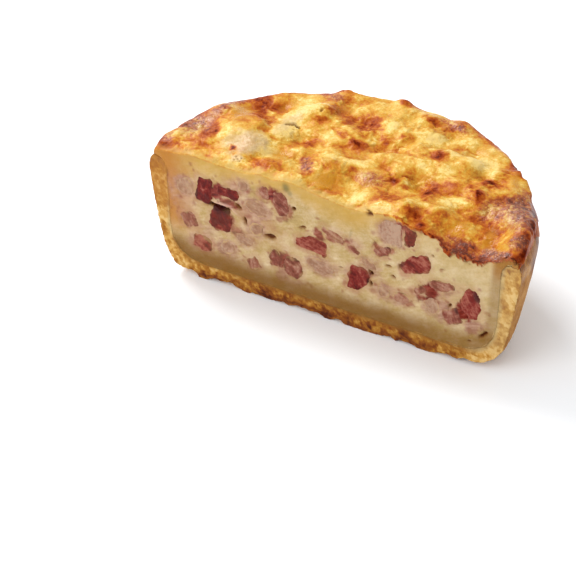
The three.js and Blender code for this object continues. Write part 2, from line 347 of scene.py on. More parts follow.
# how far outside a convex outline each x and z is, and less than nothing inside
def distanceFrom(outline, flat):
    far = np.full(len(flat), -1e9)
    for a, b in zip(outline, np.roll(outline, -1, axis=0)):
        along = (b - a) / np.linalg.norm(b - a)
        far = np.maximum(far, (flat - a) @ np.array([along[1], -along[0]]))
    return far


def surfaceOf(nodeName):
    mesh = cadNodes[nodeName].data
    return BVHTree.FromPolygons([v.co / mm for v in mesh.vertices], [p.vertices for p in mesh.polygons])


# how far each point of the cut is from a CAD node's surface; other points count as far away
def cutDistance(surface, place, isCut):
    distance = np.full(len(place), 20.0)
    for index in np.flatnonzero(isCut > 0):
        distance[index] = surface.find_nearest(place[index])[3]
    return distance


hamOutlines = {name: hamOutline(name) for name in hamNames}
print("ham outlines", len(hamOutlines))

# Filling: custard with browned, melted cheese on top.
filling = {
    "voxel": 0.42,
    "overlap": 0.7,  # closes the clearance to the pastry
    "overlapBelow": 0.5,  # and this much more where the crust hides it
    "hiddenBelow": 35,  # the crust hides its side below this height
    "roundHam": 0.45,  # how much larger the room for a piece of ham is
    "swells": 0.4,  # height of the soft swells between the big lumps
    "lumpSize": 6.6,  # melted lumps of cheese, across, and how high
    "lumpHeight": 1.1,
    # melted shreds of grated cheese: how many, then the least and the most of x, y, turn, half length,
    # half width, bow and rise
    "shreds": (1500, (-63, -1, 0, 1, 0.4, -0.15, 0.3), (63, 63, math.pi, 2.8, 0.8, 0.15, 1)),
    # the same for shreds that hang over the top edge of the cut, with the depth below it for y
    "strands": (420, (-60, -1, 0.2, 0.8, 0.4, -0.2, 0.4), (61, 3, math.pi - 0.2, 2.4, 0.75, 0.2, 1)),
    "shredHeight": 0.29,
    "blister": 0.2,  # height of the blisters where the cheese is browned
    "creamRise": 0.45,  # the pale, smooth places stand higher
    "cutUneven": 0.2,  # broad waves in the cut, and fine curds
    "curds": 0.1,
    "softEdge": 60,  # rounds of evening along the soft left part of the cut's top edge
    "lap": 2.4,  # how far the cheese runs down over the rim
    "ragged": 0.6,  # how far the custard's edge round a piece of ham wanders
    "pits": 90,
    "bits": 110,  # crumbs of ham in the custard near the pieces
}

# Hollows in the cut: x from the axis, height, half sizes, turn, depth in mm.
cutHollows = [
    (-36, 28.2, 3.5, 1.6, 0, 4), (-30, 30.8, 1.8, 0.7, -35, 1.6), (-27.2, 25.6, 0.6, 1.8, 10, 1.6),
    (-19, 23.3, 2.4, 0.9, 5, 1.6), (15, 18, 0.5, 1, 0, 1.8), (15, 22, 0.6, 1.2, 20, 1.6),
    (51.6, 12, 2.4, 0.6, 50, 1.6), (47.5, 8.6, 0.9, 0.5, 0, 1), (14.2, 42, 1.2, 0.7, 0, 1.2),
    (-10.8, 36, 0.7, 0.7, 0, 1.6), (-8, 30.2, 1.2, 0.5, 20, 0.9), (38.6, 31, 1, 0.4, 15, 0.8),
    (35, 34.4, 0.8, 0.4, -20, 0.8), (20.5, 26, 1.2, 0.5, 10, 0.9), (22.6, 22.8, 0.9, 0.5, -15, 0.9),
    (24.4, 27.3, 0.6, 0.9, 0, 1), (40.8, 18.8, 1, 0.4, 60, 1.2), (5, 20.4, 0.8, 0.4, 0, 0.7),
]
# Hollows in the top: a slit, and tiny pits.
topHollows = [
    (-30, 32.4, 1.7, 0.5, 35, 1.6), (-27.6, 32.6, 1.4, 0.5, -30, 1.4), (-35.2, 8.8, 0.4, 0.4, 0, 0.7),
    (-34.2, 7.8, 0.4, 0.3, 0, 0.7), (-33.4, 8.6, 0.4, 0.3, 0, 0.6), (-34.9, 7, 0.3, 0.4, 0, 0.6),
    (-33, 7.2, 0.3, 0.3, 0, 0.6), (12.5, 3, 1.6, 0.5, -30, 0.7), (-25.5, 44, 0.5, 1, 0, 0.6),
]
# Pinkish smears of ham just under the custard, in the same terms, with a strength.
smears = [
    (-24, 27.5, 8, 6, -20, 0.75), (-31, 37, 3.4, 3.4, 0, 0.7), (-51.5, 32, 4, 4, 0, 0.5),
    (-48.5, 26, 5, 3, 0, 0.5), (-28, 21, 6, 3, -20, 0.6), (41, 19, 5.5, 4, 20, 0.55),
    (20, 17, 6, 3, 0, 0.5), (34, 24, 4, 4, 30, 0.4), (44, 27, 5, 1.2, 10, 0.35),
    (8, 31.5, 4, 1.5, -10, 0.45), (-1, 21, 5, 2, 0, 0.4), (-14, 20.5, 3, 2, 0, 0.35),
    (24, 34, 3, 1.4, 30, 0.3), (-36, 10, 5, 3, 0, 0.4), (50, 17, 2.5, 4, 0, 0.4),
]

# Scraps of ham that join the pieces, in the same terms: red ones, then pale ones.
redScraps = [
    (-37.4, 32.8, 1.9, 3, 0, 1), (-37.2, 34.6, 2.2, 2.4, 0, 1), (-33.6, 31, 4, 1.1, -8, 0.9),
    (-18.4, 38, 2.6, 2.2, 0, 1), (-12.6, 34.4, 1.4, 2.2, 20, 0.7), (-14.6, 31.6, 2, 1, 30, 0.6),
    (35, 20.8, 3, 1.3, 38, 1), (32.4, 18.8, 2.2, 0.9, 40, 0.8), (44.8, 18, 2.4, 2.4, 30, 1),
    (34.8, 22.8, 3.2, 1.4, 30, 1), (-2, 29.8, 1.8, 1.1, -40, 0.9), (6.6, 30, 1.7, 0.8, 40, 0.8),
    (17, 32, 1.6, 1, -35, 0.8), (21.4, 32, 1.5, 0.7, 60, 0.7), (23.6, 38.3, 1, 3.2, 0, 1),
    (25.6, 41.2, 2, 1.4, 0, 0.9), (1.4, 29.6, 1.6, 0.7, -20, 0.8), (-32.4, 24.6, 1, 3, 5, 0.7),
    (-30.6, 21.4, 1.6, 1.6, 0, 0.6), (-14.4, 16.2, 2, 2.4, 0, 0.9), (27.6, 15.4, 1.6, 0.9, 10, 0.6),
    (14.6, 19.6, 0.8, 1.8, 0, 0.6),
]
paleScraps = [
    (-14.8, 11, 2, 2.4, 0, 0.9), (-11, 9.4, 3.2, 1.2, 10, 0.7), (14, 22.4, 3, 2, -10, 0.8),
    (48.4, 14, 3.4, 2.1, 20, 1), (39.6, 16, 3.4, 3.2, 0, 0.9), (36, 21.5, 5, 2.4, 35, 0.8),
    (19, 17.2, 3.2, 2.2, 0, 0.6), (23.6, 15.2, 2.6, 1.6, 0, 0.6), (-26.4, 30.6, 3.4, 3, 30, 0.6),
    (-24.6, 24.6, 3, 3, 0, 0.6), (-49.4, 29.4, 3.4, 3.4, 0, 0.7), (-30, 37, 2.4, 2, 0, 0.7),
    (41, 23.6, 3.4, 1.4, 25, 0.6), (-22, 38.6, 1.6, 1.2, 0, 0.6), (2.4, 18.4, 4, 1.6, 10, 0.6),
    (9, 30.8, 2.4, 1, -20, 0.5), (30.4, 30.6, 2, 0.9, 20, 0.4), (-5, 27.2, 2.6, 0.9, 20, 0.5),
    (-45, 13, 3, 2, 0, 0.6), (-40, 18, 2.4, 2, 20, 0.6), (-32, 12, 3, 2, 0, 0.5),
]
# A pale fold of fat over the dark hollow, its pale colour partly a painted highlight on its rim, and flecks
# of herb.
folds = [(-35.4, 29.7, 4, 0.6, 3, 1), (-31.5, 28.8, 2.2, 0.4, -40, 0.7)]
herbs = [(-13.4, 42.4, 0.9, 1.1, 20, 0.9), (-12.2, 41, 0.6, 0.8, 0, 0.7), (8.2, 33.5, 0.3, 1.2, -10, 0.4)]

# Places on the top are given on a level plane, and move by this much for each mm that the top is higher.
topLevel = 41
topLean = (-0.65, 1.21)
# Browned places on the top: x, y from the quiche's axis, half sizes, turn, strength.
browned = [
    (-44, 39, 2.8, 5, 20, 0.88), (-39, 39, 2.4, 1.8, 0, 0.6), (-21.5, 46.5, 3.2, 2.6, 0, 0.68),
    (-9, 43, 3.6, 4.6, 35, 0.85), (-14, 44, 4, 2.4, 0, 0.66), (-23, 39.5, 2.2, 1.8, 0, 0.6),
    (-7, 33, 3.2, 1.5, -25, 0.78), (-12.5, 35.5, 2, 1.6, 0, 0.66), (-20, 26, 1.3, 1.8, 10, 0.8),
    (-38.5, 12.5, 0.9, 1.1, 0, 0.95), (-49, 17.5, 1.6, 3.8, 5, 0.8), (-57, 18, 1.8, 2, 0, 0.5),
    (-15, 15, 1.4, 4.8, 25, 0.66), (-2, 19.5, 1.1, 1.1, 0, 0.7), (-0.5, 37, 1.5, 3.6, 10, 0.64),
    (4, 43, 1.9, 1.5, 0, 0.6), (17, 39.5, 1.7, 2.2, 20, 0.84), (41.5, 43, 1.5, 3.4, 30, 0.8),
    (37, 33, 1.9, 1.6, 0, 0.86), (23.2, 20.8, 1.7, 3.6, 8, 1), (10.5, 20.5, 1.5, 1.5, 0, 0.78),
    (5, 18, 3.2, 2.6, 0, 0.2), (36.8, 24.8, 1.1, 4.6, 28, 0.8), (45, 27, 3.4, 3, 0, 0.62),
    (52, 24.5, 3, 4, 15, 0.66), (42.5, 15, 2.4, 2, 0, 0.66), (49, 11, 2.4, 6, 12, 0.6),
    (25, 7.5, 4.2, 1.6, -38, 0.8), (29, 3, 1.4, 2.2, 0, 0.8), (42.5, 1.2, 4, 1.8, -12, 0.9),
    (54, 1, 4, 1.4, 0, 0.8), (60.5, 6, 1, 2.4, 20, 1), (57, 9, 2.2, 2.2, 0, 0.66),
    (-12.5, 11, 1.5, 2, 0, 0.66), (-27, 9, 2.6, 1.4, -20, 0.42), (-58.5, 5, 2, 3, 0, 0.7),
    (-50, 10, 2.4, 2.4, 0, 0.4), (15, 56, 4.4, 2, -15, 0.55), (6.5, 55.5, 1.6, 1.8, 0, 0.7),
    (-20, 54, 6, 2, 22, 0.45), (27, 26, 2.6, 3.6, 20, 0.5), (14, 12, 4.4, 1.6, -20, 0.45),
    (33, 12, 2.4, 1.8, 0, 0.4), (57, 17, 1.6, 4.6, 15, 0.66), (-5, 61, 2, 1.6, 0, 0.6),
    (16, 19, 1.6, 1, 0, 0.6), (33.5, 27, 1, 2.4, 25, 0.66), (20, 46, 2, 1.4, 0, 0.4),
    (-53, 31, 1.4, 3, -30, 0.5), (36.5, -1, 3.4, 1.6, -20, 0.85), (45, -2.4, 5.2, 2, -10, 1),
    (53, -2.4, 4, 1.8, 10, 0.85), (58, 0, 2.4, 2.4, 0, 0.8),
]
# Pale, smooth places, in the same terms.
creamy = [
    (-37, 16.5, 8, 9.5, -10, 1), (-31, 34, 3.4, 10, -8, 0.9), (-34.5, 8, 2.4, 3.6, 10, 1),
    (30, 41, 6, 3.6, 0, 0.6), (11, 45.5, 3, 3, 0, 0.75), (-3, 45, 1.6, 2.6, 0, 0.75),
    (12, 31, 5, 3, 0, 0.5), (-6, 55, 4, 2.4, 0, 0.5), (-6, 23, 6, 1.3, 5, 0.65),
    (26, 13.5, 4.4, 1.5, -10, 0.6), (-45, 3, 4, 2.4, 0, 0.5), (6, 9, 2.4, 2, 0, 0.6),
    (22, 30, 3.4, 3.4, 0, 0.5), (34, 20, 2.6, 1.6, -20, 0.5), (-19, 33, 3, 2, 0, 0.4),
    (36, 38, 2.4, 4, 20, 0.5),
]
# Clear, amber places where fat has pooled.
amber = [
    (-24.5, 16.5, 2.4, 3, 0, 0.8), (-6.5, 11, 4.2, 3.8, 0, 1), (-46, 31, 2.6, 4.4, 15, 0.95),
    (-53, 25, 1.6, 3, 0, 0.5), (43, 37, 1.3, 5, 25, 0.9), (39, 8, 2.6, 3.6, 0, 0.9),
    (-3, 27, 2.6, 1.6, 0, 0.6), (-36, 42, 2, 3, 0, 0.6), (27, 47, 3.4, 1.6, 0, 0.3),
    (49, 7, 1.6, 5, 10, 0.8), (-10, 20, 3, 1, 0, 0.4), (54, 5, 1.6, 2, 0, 0.6), (20, 26, 1.6, 2, 0, 0.6),
    (-20, 48, 3, 1.6, 0, 0.5),
]
# Pinkish, scorched places.
scorched = [
    (50.5, 24, 4.4, 8.5, 18, 1), (44, 21, 4.4, 5.4, 0, 0.6), (57, 9, 2.6, 3.6, 0, 0.8),
    (-55, 19, 3.6, 6, -10, 0.9), (15, 56, 5, 2, -15, 0.55), (5, 18, 4, 3.2, 0, 0.6),
    (-36, 17, 4.2, 5, 0, 0.35), (-54, 27, 2, 5, -25, 0.5), (43, 1.6, 5, 2.4, 0, 0.5),
    (47, -2, 8, 2.2, -5, 0.35), (-25, 53, 2, 2, 0, 0.5), (54, 1, 4, 2.4, 0, 0.9), (-52, 35, 2, 5, -35, 0.6),
    (-59, 9, 1.6, 3, 0, 0.5), (-15, 15, 1.6, 4, 25, 0.5),
]


# shreds of cheese: how high they lie at each place, 0 to 1, and the tone of the one on top
def shredsOver(across, up, count, low, high, seed):
    chance = np.random.default_rng(seed)
    height = np.zeros(len(across))
    tone = np.zeros(len(across))
    for _ in range(count):
        middleX, middleY, turn, halfLong, halfWide, bow, rise = chance.uniform(low, high)
        own = chance.uniform(-1, 1)
        near = np.flatnonzero(np.maximum(np.abs(across - middleX), np.abs(up - middleY)) < halfLong + 1)
        x, y = across[near] - middleX, up[near] - middleY
        along = x * math.cos(turn) + y * math.sin(turn)
        beside = y * math.cos(turn) - x * math.sin(turn) + bow * along**2
        bump = rise * np.clip(1 - (beside / halfWide) ** 2, 0, 1)
        bump *= smoothStep(halfLong, halfLong * 0.6, np.abs(along))
        onTop = bump > height[near]
        tone[near] = np.where(onTop, own, tone[near])
        height[near] = np.maximum(height[near], bump)
    return height, tone


# height of the highest point in each column of millimetres along the cut
def topOver(place):
    reach = 70  # to either side of the axis
    columns = np.clip(np.round(place[:, 0]).astype(int) + reach, 0, 2 * reach)
    highest = np.zeros(2 * reach + 1)
    atFront = place[:, 1] < cutY + 1
    np.maximum.at(highest, columns[atFront], place[atFront, 2])
    return np.interp(place[:, 0], np.arange(-reach, reach + 1), highest)


def growFilling(corner):
    belowRim = corner.co.z < filling["hiddenBelow"] * mm or corner.normal.z < -0.2
    return filling["overlap"] + filling["overlapBelow"] * belowRim


hamRooms = [(name, filling["roundHam"]) for name in hamNames]
piece = evenSkin("filling", [("egg_filling", growFilling)] + hamRooms, filling["voxel"])
place, normals, radius = flattenCut(piece)
underside = (normals[:, 2] < 0.2) & (place[:, 1] > cutY + 3)
underside &= (place[:, 2] < filling["hiddenBelow"]) | (radius < rimRadius - 6)
thinHidden(piece, underside)

place, edges = readMesh(piece.data)
normals = normalsOf(piece.data)
isTop = smoothStep(0.2, 0.6, normals[:, 2]) * smoothStep(30, 36, place[:, 2])
# the facets of the top are rounded off, then the soft left part of the cut's top edge
place = evened(place, edges, 12, 0.5 * isTop * (place[:, 1] > cutY + 0.2))
soft = smoothStep(26, 16, place[:, 0]) * smoothStep(5, 2, place[:, 1] - cutY)
soft *= smoothStep(5.4, 3, topOver(place) - place[:, 2])
place = evened(place, edges, filling["softEdge"], 0.5 * soft)
writeMesh(piece.data, place)
normals = normalsOf(piece.data)
isCut = smoothStep(0.5, 0.9, -normals[:, 1]) * (place[:, 1] < cutY + 0.8)
isTop = smoothStep(0.25, 0.6, normals[:, 2]) * smoothStep(30, 36, place[:, 2])
x, y, z = place[:, 0], place[:, 1] - cutY, place[:, 2]

# The places on the top, with frayed and wandering edges.
wander = roughNoise(place, 3.2, 1), roughNoise(place, 3.2, 6)
fray = 0.36 * roughNoise(place, 1.8, 9)
levelX, levelY = (along + lean * (z - topLevel) for along, lean in zip((x, y), topLean))
spotX, spotY = levelX + 1.1 * wander[0], levelY + 1.1 * wander[1]
brown = spread(browned, spotX, spotY, fray)
cream = spread(creamy, spotX, spotY, fray, 1.8)
amberness = spread(amber, spotX, spotY, fray, 1.7)
scorch = spread(scorched, spotX, spotY, fray, 1.7)
pitted = spread(topHollows, levelX, levelY, 0.5 * fray, 1.3, 0.4)

# The top: soft swells and lumps, then the shreds, then blisters where it is browned.
smoothness = np.maximum(0.6 * cream, 0.7 * amberness)
shred, shredTone = shredsOver(spotX, spotY, *filling["shreds"], seed=61)
shred *= (1 - 0.7 * scorch) * (0.3 + 0.7 * smoothStep(0.55, 0.85, normals[:, 2]))
away, blisterTone = grains(place * [1, 1, 0.6], 1.25, 14)
warped = (place + 1.2 * np.stack([*wander, 0 * x], axis=1)) * [1, 1, 0.3]
crease, lumpTone = grains(warped, filling["lumpSize"], 15)
lift = filling["swells"] * roughNoise(place, 9, 11, 2) - 0.1
lift += filling["lumpHeight"] * (0.45 - 1.3 * crease**2) * (0.75 + 0.35 * lumpTone) * (1 - 0.6 * cream)
lift += filling["shredHeight"] * (shred - 0.3) * (1 - smoothness)
lift += filling["blister"] * (1 - 1.6 * away**2) * np.maximum(brown, 2.3 * scorch) * (1 - 0.6 * amberness)
lift += filling["creamRise"] * cream
# lower at the back rim and along the left of the cut's top edge
lift *= 1 - 0.5 * smoothStep(rimRadius - 9, rimRadius - 2, np.hypot(x, y)) * smoothStep(20, 40, y)
lift *= 1 - 0.65 * smoothStep(2.5, 0, y) * smoothStep(34, 22, x)
place = place + normals * ((lift - pitted) * isTop)[:, None]

# Cheese that ran down over the rim, unevenly.
crustSurface = surfaceOf("pastry_crust")
aroundRim = np.stack([np.arctan2(y, x) * rimRadius, 0 * x, 0 * x], axis=1)
run = filling["lap"] * np.clip(roughNoise(aroundRim, 5, 16, 3) + 0.25, 0, 1)
lip = smoothStep(rimRadius - 2.4, rimRadius - 1.4, np.hypot(x, y)) * (z > 36)
for index in np.flatnonzero(lip > 0.3):
    lower = place[index] - [0, 0, run[index] * lip[index]]
    nearest, facing, _, _ = crustSurface.find_nearest(lower)
    if facing.z < 0.8:
        place[index] = np.array(nearest + facing * 0.3)
nearRim = smoothStep(rimRadius - 4, rimRadius - 2, np.hypot(x, y)) * (z > 35) * (1 - isCut)
place = evened(place, edges, 5, 0.5 * nearRim)
print("cheese top shaped")

# The cut: gently uneven, with small pits and the cheese hanging over its top edge.
flat = place[:, [0, 2]]
onCut = place * [1, 0, 1]
nearCrust = cutDistance(crustSurface, place, isCut)
below = topOver(place) - place[:, 2]
nearWall = smoothStep(1.6, 0.6, nearCrust) * (z < 37)
uneven = filling["cutUneven"] * roughNoise(onCut, 7, 21)
uneven += filling["curds"] * (0.4 + smoothStep(-10, 20, x)) * roughNoise(onCut, 2, 22, 3)
uneven *= 1 - nearWall
ragged = filling["ragged"] * roughNoise(onCut, 2.2, 23)  # edges round the ham, and of the scraps
torn = 0.9 * roughNoise(onCut, 1.1, 26, 3, 0.7) + 0.5 * roughNoise(onCut, 3, 27, 2)
nearHam = np.full(len(place), 9.0)
nearPale = nearHam
for name, outline in hamOutlines.items():
    distance = distanceFrom(outline, flat)
    nearHam = np.minimum(nearHam, distance)
    if slotOf[name] == "pale_ham":
        nearPale = np.minimum(nearPale, distance)
chance = np.random.default_rng(7)
pits = []
for pitX, pitZ, size, turn in chance.uniform((-52, 10, 0.2, 0), (52, 41, 0.6, 180), (filling["pits"], 4)):
    pits.append((pitX, pitZ, size, size * 0.6, turn, 0.5 * size))
hollow = spread(cutHollows + pits, flat[:, 0], flat[:, 1], 1.2 * ragged, 1.2, 0.3)
strand, strandTone = shredsOver(x, below, *filling["strands"], seed=62)
hang = smoothStep(-25, 42, x) * (0.75 + 0.7 * roughNoise(onCut, (5, 9, 9), 24))  # how far it hangs down
fringe = below / (0.4 + 1.7 * hang) - 0.5 - 0.9 * strand * hang + 0.5 * roughNoise(onCut, 1.3, 25)
fringe = smoothStep(0.35, -0.35, fringe) * smoothStep(14, 24, x + 3 * wander[0])
openCut = isCut * (1 - fringe)  # the cut where no cheese hangs over it
fold = spread(folds, flat[:, 0], flat[:, 1], 0.6 * ragged, 1.3, 0.4)
# how far each point is set back from the cut: less at the cheese and the folds, more at the ham
setBack = -0.12 + uneven - fringe * (0.05 + 0.45 * strand) * smoothStep(0, 20, x)
setBack += 0.03 * nearWall - 0.4 * fold
setBack += 0.6 * smoothStep(-0.4, -1.2, nearHam) + 0.25 * torn * smoothStep(1.8, 0.2, np.abs(nearHam + 0.4))
place[:, 1] += isCut * (setBack + hollow * (1 - fringe) * (1 - fold))
writeMesh(piece.data, place)
print("cut shaped")

# How brown the cheese is: darker in the creases, partly as painted shade, and at the rim, then the browned
# places.
heat = roughNoise(place, 6.5, 31, 3)
tufts = roughNoise(place, 2.4, 34, 3)
radius = np.hypot(x, y)
rimBrown = smoothStep(rimRadius - 5, rimRadius - 1, radius + 1.6 * roughNoise(place, 4, 32))
# browner where the surface lies hollow: partly painted shade, partly the fat that pools there
cavityShade = np.clip(np.sum((evened(place, edges, 8, 0.5) - place) * normalsOf(piece.data), axis=1), -0.3, 0.3)
base = 0.24 + 0.5 * cavityShade + 0.26 * heat + 0.16 * tufts
# browner towards the left end, partly painted shade set against the window lamp's stronger light there
base += 0.05 * smoothStep(15, 45, x) + 0.15 * smoothStep(-15, -45, x) - 0.04 * smoothStep(25, 40, y)
base += 0.32 * rimBrown + 0.2 * smoothStep(28, 40, x) * smoothStep(4, 0, y)
# browner along the creases between the lumps: painted shade
base += 0.08 * shredTone * shred - 0.08 * shred + 0.26 * (smoothStep(0.3, 0.8, crease) - 0.4) * (1 - cream)
specks = 0.9 + 0.7 * roughNoise(place, 2, 36, 3) + 0.2 * blisterTone + 0.25 * shredTone * shred
specks -= 0.14 * smoothStep(28, 42, y)
browning = base + (1.0 - base) * np.clip(brown * specks, 0, 1) - 0.3 * cream * (1 - brown)
browning += scorch * (0.1 + 0.5 * roughNoise(place, 1.8, 37, 2) + 0.25 * blisterTone)
browning *= 1 - 0.5 * smoothStep(2.2, 0, y) * smoothStep(26, 14, x) * (1 - brown)
# the cheese that hangs over the cut has its own
hanging = 0.42 + 0.3 * strandTone * strand + 0.4 * tufts + 0.45 * smoothStep(15, 36, x)
browning = np.where(isCut > 0.5, hanging, browning)

# Colours of the custard: moist along the crust, warm under the cheese, tan at both ends.
fade = roughNoise(onCut, 5, 33)
moist = smoothStep(8.4, 1.3, nearCrust + 0.9 * fade)
moist *= smoothStep(17, 10, z) + 0.5 * smoothStep(10, 17, z) * smoothStep(3.8, 1.6, nearCrust) * (x > 0)
moist *= 1 - 0.2 * smoothStep(26, 40, x) * smoothStep(13, 9, z)
warm = 0.9 * smoothStep(8.5, 1, below + 2.5 * fade) * (1 - 0.75 * smoothStep(18, 34, x))
softTop = 0.8 * smoothStep(3.6, 0.4, y + 1.8 * tufts) * smoothStep(24, 14, x + 5 * heat) * (1 - isCut)
warm = np.maximum(warm, 1.2 * softTop)
tan = smoothStep(-42, -54, x + 3 * fade) * smoothStep(10, 22, z)
tan = np.maximum(tan, 0.8 * smoothStep(53, 56, x + fade) * smoothStep(31, 37, z))
# and pinkish round the ham, with scraps and crumbs of it, and milky on the right
patchy = smoothStep(-0.15, 0.35, roughNoise(onCut, 8, 38, 2))
blush = (0.45 + 0.5 * patchy) * smoothStep(1.8, 0.1, nearHam + 0.8 * fade + 0.6 * ragged)
blush *= 0.4 + 0.6 * smoothStep(0, 0.6, nearPale - nearHam)
blush = np.maximum(blush, spread(smears, x + 2 * fade, z, 0.8 * ragged, 1.7, 0.2))
redHam = spread(redScraps, x + 0.6 * wander[0], z + 0.6 * wander[1], torn, 1.6, 0.7)
paleHam = spread(paleScraps, x + wander[0], z + wander[1], torn, 1.7, 0.4)
paleHam = np.maximum(paleHam, (0.5 + 0.4 * patchy) * smoothStep(1.5, -0.2, nearPale + 0.8 * torn))
milky = 0.3 * smoothStep(18, 42, x + 4 * fade) * smoothStep(8, 16, z)
chance = np.random.default_rng(8)
bits = []
for number in range(filling["bits"]):
    outline = hamOutlines[hamNames[number % len(hamNames)]]
    middle = outline.mean(axis=0)
    middle = middle + (outline[chance.integers(len(outline))] - middle) * chance.uniform(1.1, 1.9)
    bits.append((*middle, *chance.uniform(0.2, 0.8, 2), chance.uniform(0, 180), chance.uniform(0.3, 1)))
# painted shade in the pits of the open cut
pitShade = np.clip(hollow / 1.4, 0, 1) * openCut
storeValues(
    piece.data,
    browning=np.clip(browning, 0, 1),
    cream=cream * (1 - brown),
    amber=amberness,
    scorch=scorch * (1 - openCut),
    cut=np.maximum.reduce([openCut, smoothStep(3.2, 4.5, below) * (y < 2), softTop]),
    moist=moist,
    milky=milky,
    warm=warm,
    tan=tan,
    blush=blush,
    redHam=redHam * openCut,
    paleHam=paleHam * openCut,
    bits=spread(bits, x, z, 1.5 * ragged, 1.7) * openCut,
    fold=fold * isCut,
    herb=spread(herbs, x, z, fray) * isCut,
    hollow=np.maximum(pitShade, 0.8 * smoothStep(0.2, 0.9, pitted) * isTop),
)


def fillingMaterial():
    material, tree, shader = newMaterial(
        "custard_and_cheese", Subsurface_Weight=0.08, Subsurface_Scale=0.002)
    shader.inputs["Subsurface Radius"].default_value = (1.0, 0.6, 0.25)
    where = addNode(tree, "TexCoord").outputs["Object"]
    fine = noiseOf(tree, where, 1500, 3, 0.65)
    medium = noiseOf(tree, where, 520, 3, 0.6)
    broad = noiseOf(tree, where, 180, 3, 0.5)
    scorch = valueOf(tree, "scorch")
    speckles = math2(tree, "MULTIPLY", addUp(tree, [(fine, 1.0)], -0.5), addUp(tree, [(scorch, 1.6)], 0.55))
    brownness = valueOf(tree, "browning")
    browning = addUp(tree, [(speckles, 1.0), (medium, 0.45), (brownness, 1.0)], -0.225, clamp=True)
    topColour = rampOf(tree, browning, [
        (0.0, "dabc70"), (0.15, "c9a044"), (0.3, "bf8828"), (0.44, "b56e1a"), (0.58, "a35010"),
        (0.72, "92400a"), (0.86, "7a2a06"), (1.0, "4c1002"),
    ])
    topColour = tinted(tree, topColour, "amber", 0.95, "b07402")
    creamColour = rampOf(tree, medium, [(0.35, "a08058"), (0.5, "b89a74"), (0.62, "ccb896")])
    pinkish = addUp(tree, [(valueOf(tree, "cream"), 1.9)], -1.25, clamp=True)
    topColour = mixColours(tree, pinkish, topColour, creamColour)
    topColour = tinted(tree, topColour, "scorch", 0.55, "7c4e38")
    # painted highlight: pale glints dotted over the scorched places
    dots = addNode(tree, "TexVoronoi", {"Vector": where, "Scale": 1100.0}).outputs["Distance"]
    glint = addNode(tree, "MapRange", {0: dots, 1: 0.26, 2: 0.12}).outputs[0]
    glint = math2(tree, "MULTIPLY", math2(tree, "MULTIPLY", glint, scorch), 0.5)
    topColour = mixColours(tree, glint, topColour, paint("dcb89e"))
    turned = addNode(tree, "Mapping", {"Vector": where, "Rotation": (0, 0.4, 0)}).outputs[0]
    knife = grainOf(tree, turned, (190, 300, 800), 3, 0.6)
    cutTone = addUp(tree, [(broad, 0.5), (medium, 0.25), (fine, 0.2), (knife, 0.3)], -0.125)
    cutColour = rampOf(tree, cutTone, [
        (0.3, "92784a"), (0.43, "a58b58"), (0.55, "b59c74"), (0.7, "c6b290"),
    ])
    meatTone = addUp(tree, [(knife, 0.6), (medium, 0.4)])
    paleMeat = rampOf(tree, meatTone, [(0.36, "80544a"), (0.5, "98705e"), (0.64, "ac8872")])
    redMeat = rampOf(tree, meatTone, [(0.36, "4c120c"), (0.5, "72281e"), (0.64, "8e4e40")])
    # the fold's pale tint is partly a painted highlight on its rim
    for name, share, tint in (
        ("milky", 0.9, "c2b08c"), ("warm", 0.8, "b48c3a"), ("tan", 0.95, "a46c2c"),
        ("blush", 0.68, "9c6c54"), ("paleHam", 0.9, paleMeat), ("redHam", 1.0, redMeat),
        ("bits", 0.75, "7c4030"), ("fold", 0.8, "c0988a"), ("moist", 0.88, "6e460c"),
        ("herb", 0.7, "45492a"),
    ):
        cutColour = tinted(tree, cutColour, name, share, tint)
    colour = mixColours(tree, valueOf(tree, "cut"), topColour, cutColour)
    # painted shade: the pits and hollows of the cut and the top are coloured dark
    hollowColour = rampOf(tree, valueOf(tree, "hollow"), [(0.2, "8c6030"), (0.8, "5c2c0e")])
    inHollowShade = addUp(tree, [(valueOf(tree, "hollow"), 1.6)], 0, clamp=True)
    colour = mixColours(tree, inHollowShade, colour, hollowColour)
    tree.links.new(colour, shader.inputs["Base Color"])
    rough = addUp(tree, [(medium, 0.4), (valueOf(tree, "cut"), 0.15), (valueOf(tree, "amber"), -0.1)], 0.16)
    tree.links.new(rough, shader.inputs["Roughness"])
    shine = addUp(tree, [(scorch, 0.35), (valueOf(tree, "amber"), 0.12), (brownness, -0.2)], 0.21)
    tree.links.new(shine, shader.inputs["Specular IOR Level"])
    normal = bumpOf(tree, fine, 0.35, 0.0004)
    tree.links.new(bumpOf(tree, medium, 0.35, 0.0008, normal), shader.inputs["Normal"])
    return material


finishPiece(piece, fillingMaterial(), "egg_filling")

# Diced ham: muscle in bundles with pale seams.
ham = {
    "voxel": 0.3,
    "grow": 0.35,  # so that it fills its room in the custard
    "ragged": 1.2,  # how far its torn outline wanders
    "proud": 0.34,  # how far it stands out of the cut
    "bundle": (1.6, 4.0, 3.0),  # size of a bundle across, along and behind
    "seamDepth": 0.14,
    "dark_ham": ("500a05", "6e1a12", "925040"),  # dark, middle and light colour of each kind
    "pink_ham": ("5a1e17", "783a2f", "9a6e5c"),
    "pale_ham": ("784e3c", "8a634f", "a2826c"),
}

